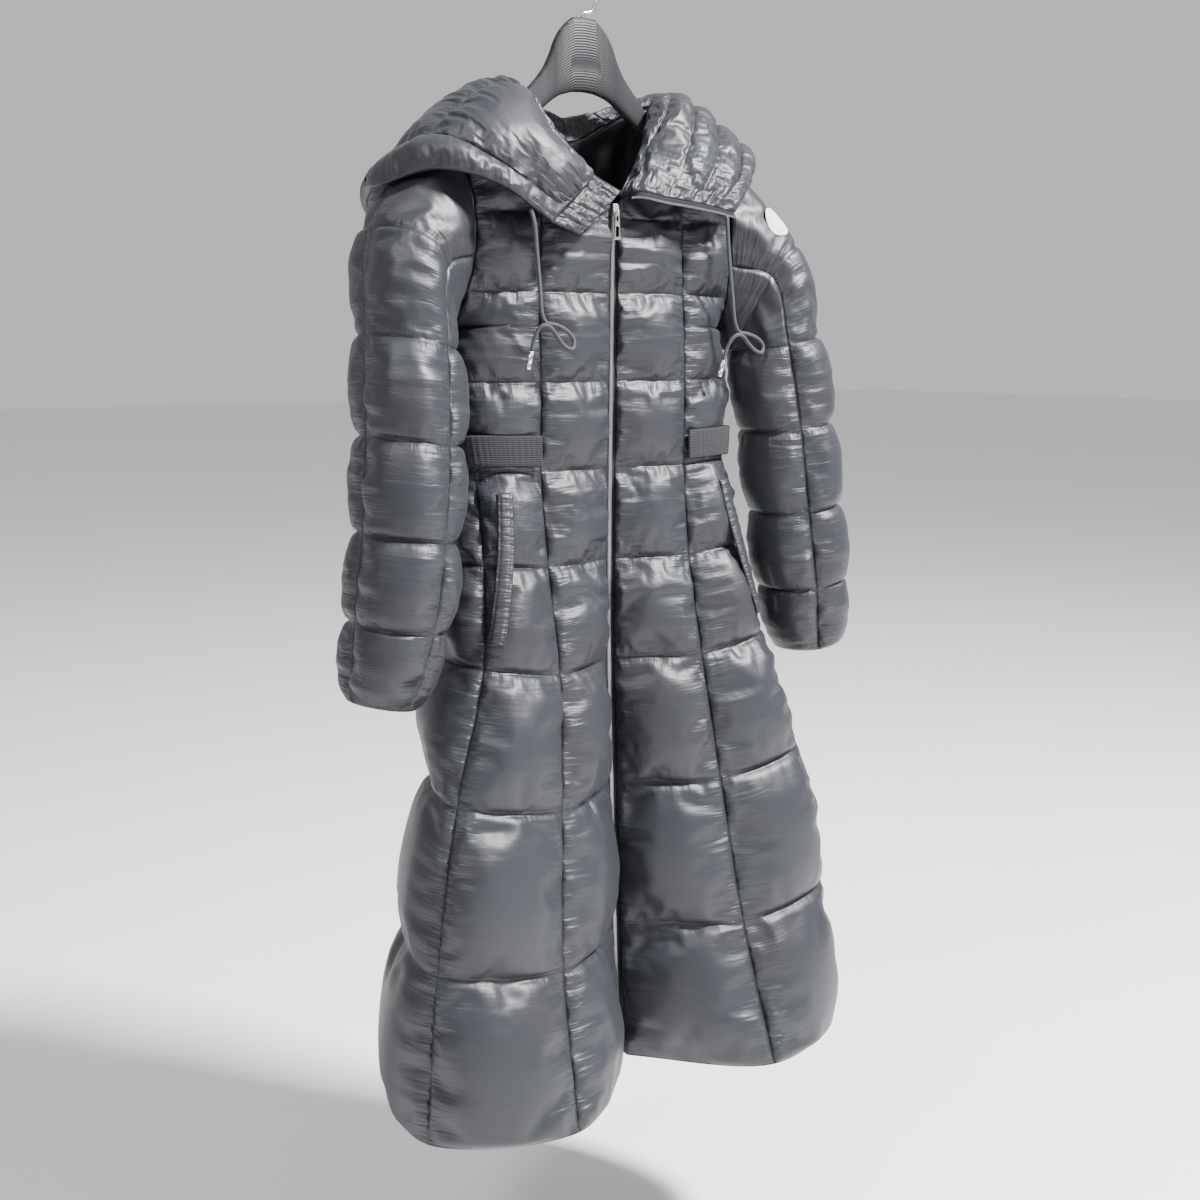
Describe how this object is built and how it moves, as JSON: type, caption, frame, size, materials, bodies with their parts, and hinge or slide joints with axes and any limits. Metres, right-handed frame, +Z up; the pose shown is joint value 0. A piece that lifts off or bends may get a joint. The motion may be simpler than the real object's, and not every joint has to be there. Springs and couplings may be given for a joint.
{
  "type": "long quilted puffer coat on a hanger",
  "caption": "Long dark grey quilted puffer coat with a hood, front zip and waistband, hanging on a moulded black hanger.",
  "frame": {"origin": "top of the inside of the hanger's hook, where a rail carries it", "axes": "+Z up, the coat's front faces -Y, the wearer's left is +X"},
  "size_m": [0.7478, 0.4234, 1.401],
  "materials": {
    "nylon": "satin quilted nylon",
    "elastic": "matt ribbed elastic",
    "tape": "woven zip tape and coil",
    "cord": "braided cord",
    "badge": "plain woven badge",
    "metal": "polished zinc",
    "steel": "plated wire",
    "plastic": "moulded with fine grooves"
  },
  "bodies": {
    "coat": {"front_right_centre": "nylon", "front_right_side": "nylon", "back_right_centre": "nylon", "back_right_side": "nylon", "front_left_centre": "nylon", "front_left_side": "nylon", "back_left_centre": "nylon", "back_left_side": "nylon", "sleeve_right_front": "nylon", "sleeve_right_back": "nylon", "sleeve_right_under": "nylon", "sleeve_left_front": "nylon", "sleeve_left_back": "nylon", "sleeve_left_under": "nylon", "hood_right": "nylon", "hood_brim_right": "nylon", "hood_centre": "nylon", "hood_brim_centre": "nylon", "hood_left": "nylon", "hood_brim_left": "nylon", "hood_tab": "nylon", "pocket_welt_right": "nylon", "pocket_welt_left": "nylon", "waistband": "elastic", "zip_tape_right": "tape", "zip_tape_left": "tape", "hood_zip_tape": "tape", "zip_slider": "metal", "drawcord_right": "cord", "drawcord_left": "cord", "cord_tip_right": "metal", "cord_tip_left": "metal", "sleeve_badge": "badge", "hanger": "plastic", "hanger_hook": "steel"},
    "pull": {"zip_pull": "metal"}
  },
  "joints": [
    {"name": "pull_hinge", "type": "hinge", "parent": "coat", "child": "pull", "pos_m": [0, -0.0762, -0.2903], "axis": [-1, 0, 0], "range_deg": [0, 100]}
  ]
}
